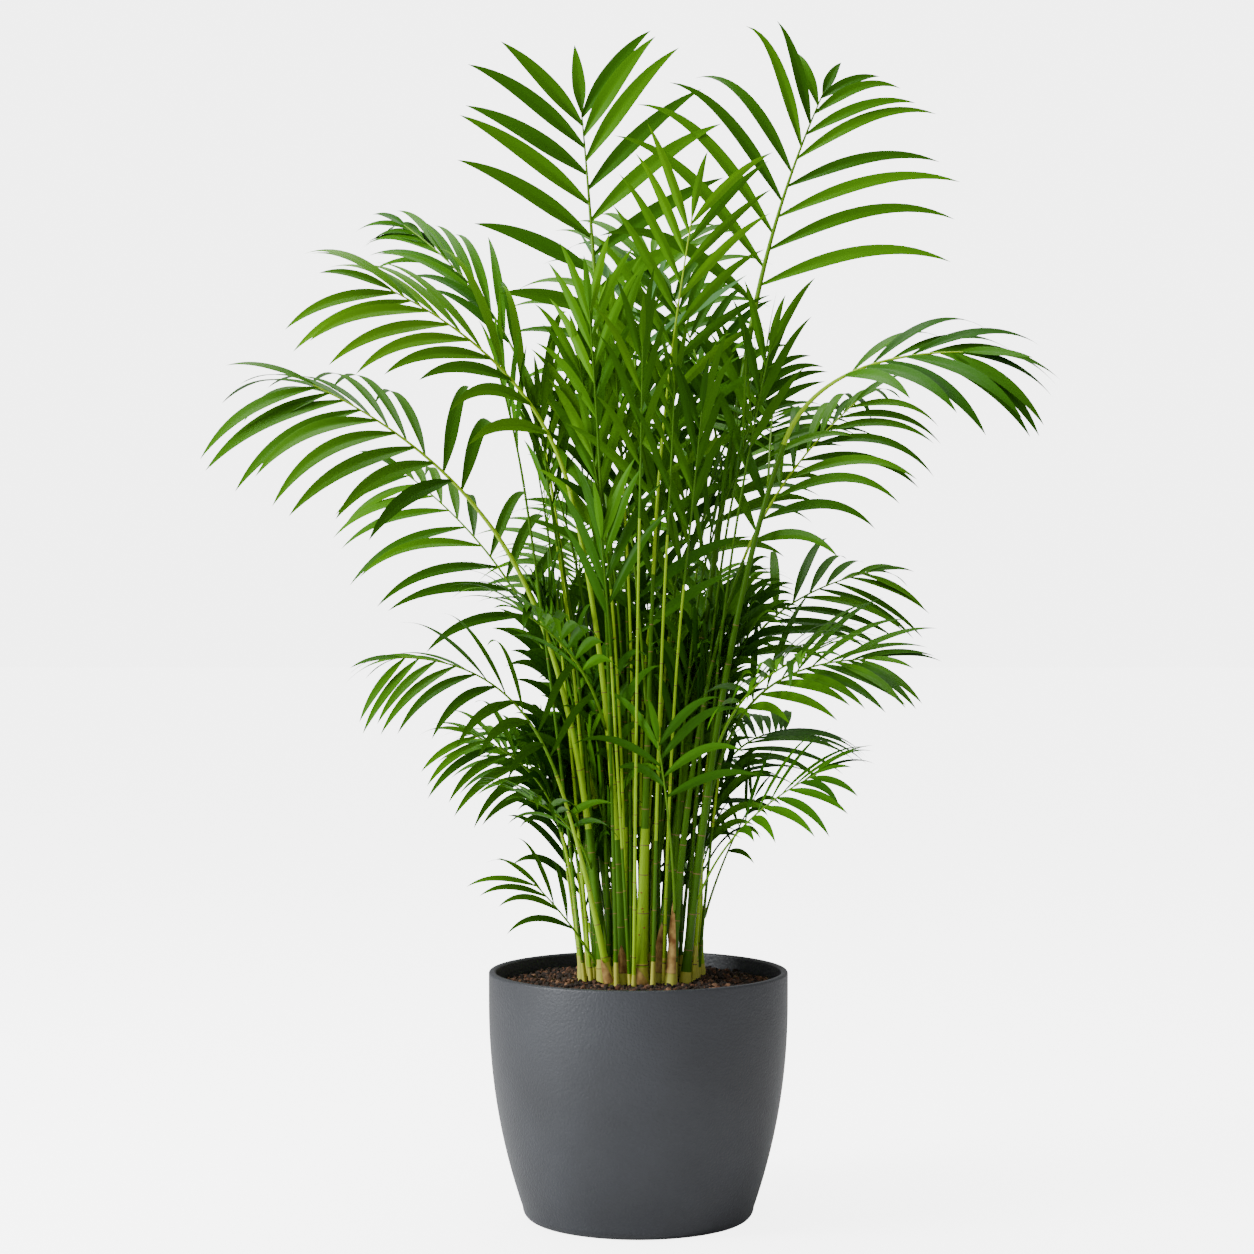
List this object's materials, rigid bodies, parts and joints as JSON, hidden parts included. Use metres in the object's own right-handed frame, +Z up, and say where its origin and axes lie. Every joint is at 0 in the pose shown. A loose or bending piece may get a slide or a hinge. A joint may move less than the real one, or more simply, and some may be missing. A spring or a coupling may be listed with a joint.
{
  "type": "potted chamaedorea palm",
  "caption": "Clump of slender green canes with arching feather-shaped fronds, standing in soil in a round straight-rimmed pot.",
  "frame": {"origin": "centre of the pot's flat underside, which stands on the floor", "axes": "+Z up along the canes, -Y the pictured front, +X to the right of the picture"},
  "size_m": [0.8339, 0.6286, 1.2156],
  "materials": {
    "pot": "dark slate grey satin with a fine pebbled grain",
    "soil": "crumbly dark brown potting mix",
    "cane": "smooth yellow green stalks with paler, ringed feet",
    "leaf_deep": "satin deep green leaflets",
    "leaf_mid": "satin green leaflets",
    "leaf_bright": "satin fresh green leaflets",
    "leaf_pale": "matt pale blue green unopened leaf"
  },
  "bodies": {
    "root": {"pot": "pot", "soil": "soil", "cane_centre": "cane", "cane_tall_left": "cane", "cane_tall_right": "cane", "cane_upper_left": "cane", "cane_upper_back": "cane", "cane_left": "cane", "cane_left_mid": "cane", "cane_left_low": "cane", "cane_left_foot": "cane", "cane_right": "cane", "cane_right_mid": "cane", "cane_right_back": "cane", "cane_right_low": "cane", "cane_spear": "cane", "cane_back_left": "cane", "cane_back": "cane", "cane_back_right": "cane", "frond_centre": "leaf_bright", "frond_tall_left": "leaf_mid", "frond_tall_right": "leaf_mid", "frond_upper_left": "leaf_bright", "frond_left": "leaf_mid", "frond_right": "leaf_deep", "frond_right_mid": "leaf_mid", "frond_left_low": "leaf_mid", "frond_right_low": "leaf_mid", "frond_right_back": "leaf_mid", "frond_upper_back": "leaf_deep", "frond_left_mid": "leaf_mid", "frond_left_foot": "leaf_deep", "frond_spear": "leaf_pale", "frond_back_left": "leaf_mid", "frond_back": "leaf_mid", "frond_back_right": "leaf_mid", "frond_front_small": "leaf_mid", "frond_right_foot": "leaf_deep", "frond_right_foot_small": "leaf_mid", "frond_left_foot_small": "leaf_mid", "frond_inner_left": "leaf_mid", "frond_inner_right": "leaf_mid", "frond_inner_back": "leaf_deep", "frond_high_back": "leaf_deep", "frond_low_back_left": "leaf_deep", "frond_low_back": "leaf_deep", "frond_low_back_right": "leaf_deep", "frond_mid_back_left": "leaf_mid", "frond_mid_back": "leaf_deep", "frond_mid_back_right": "leaf_mid", "frond_front_left": "leaf_mid", "frond_front_left_foot": "leaf_mid", "frond_front_right": "leaf_mid", "frond_right_side": "leaf_deep", "frond_left_side": "leaf_deep", "frond_right_upper": "leaf_mid", "frond_core_high": "leaf_mid", "frond_core_right": "leaf_mid", "frond_core_left": "leaf_mid", "frond_core_back": "leaf_deep"}
  },
  "joints": []
}
